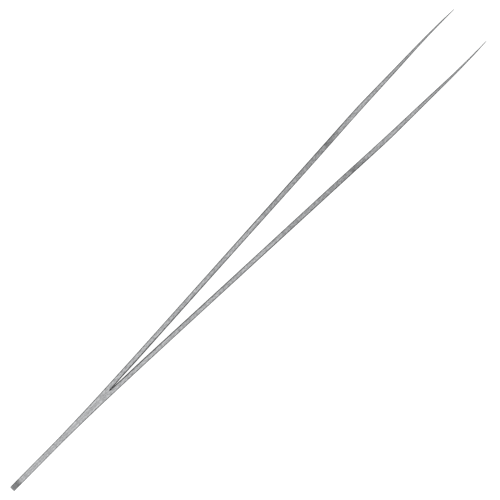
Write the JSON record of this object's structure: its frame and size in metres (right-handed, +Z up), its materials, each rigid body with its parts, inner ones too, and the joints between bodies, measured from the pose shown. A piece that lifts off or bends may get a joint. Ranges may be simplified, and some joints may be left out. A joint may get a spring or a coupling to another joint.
{
  "type": "aquascaping tweezers",
  "caption": "Long straight fine-tipped steel tweezers for planting aquariums, with sprung leaves welded at the heel and arms that close.",
  "frame": {"origin": "on the surface the tweezers lie on, midway along their length and midway between the two leaves", "axes": "+X from the heel to the tips, +Y the side the left leaf opens to, +Z up across the leaves' width"},
  "size_m": [0.27, 0.02, 0.01],
  "materials": {
    "satin_steel": "satin ground stainless steel, fine grinding lines along the leaf",
    "weld_steel": "ground weld metal, slightly duller than the leaf"
  },
  "bodies": {
    "heel": {"left_leaf_heel": "satin_steel", "right_leaf_heel": "satin_steel", "seam_weld": "weld_steel", "spot_weld_rear": "weld_steel", "spot_weld_middle": "weld_steel", "spot_weld_front": "weld_steel"},
    "left_arm": {"left_leaf_arm": "satin_steel"},
    "right_arm": {"right_leaf_arm": "satin_steel"}
  },
  "joints": [
    {"name": "left_arm_close", "type": "hinge", "parent": "heel", "child": "left_arm", "pos_m": [-0.047, 0.00233, 0], "axis": [0, 0, -1], "range_deg": [0, 2.88], "stiffness_Nm_per_rad": 9},
    {"name": "right_arm_close", "type": "hinge", "parent": "heel", "child": "right_arm", "pos_m": [-0.047, -0.00233, 0], "axis": [0, 0, 1], "range_deg": [0, 2.88], "stiffness_Nm_per_rad": 9}
  ],
  "couplings": [
    {"joint": "right_arm_close", "follows": "left_arm_close", "ratio": 1}
  ]
}
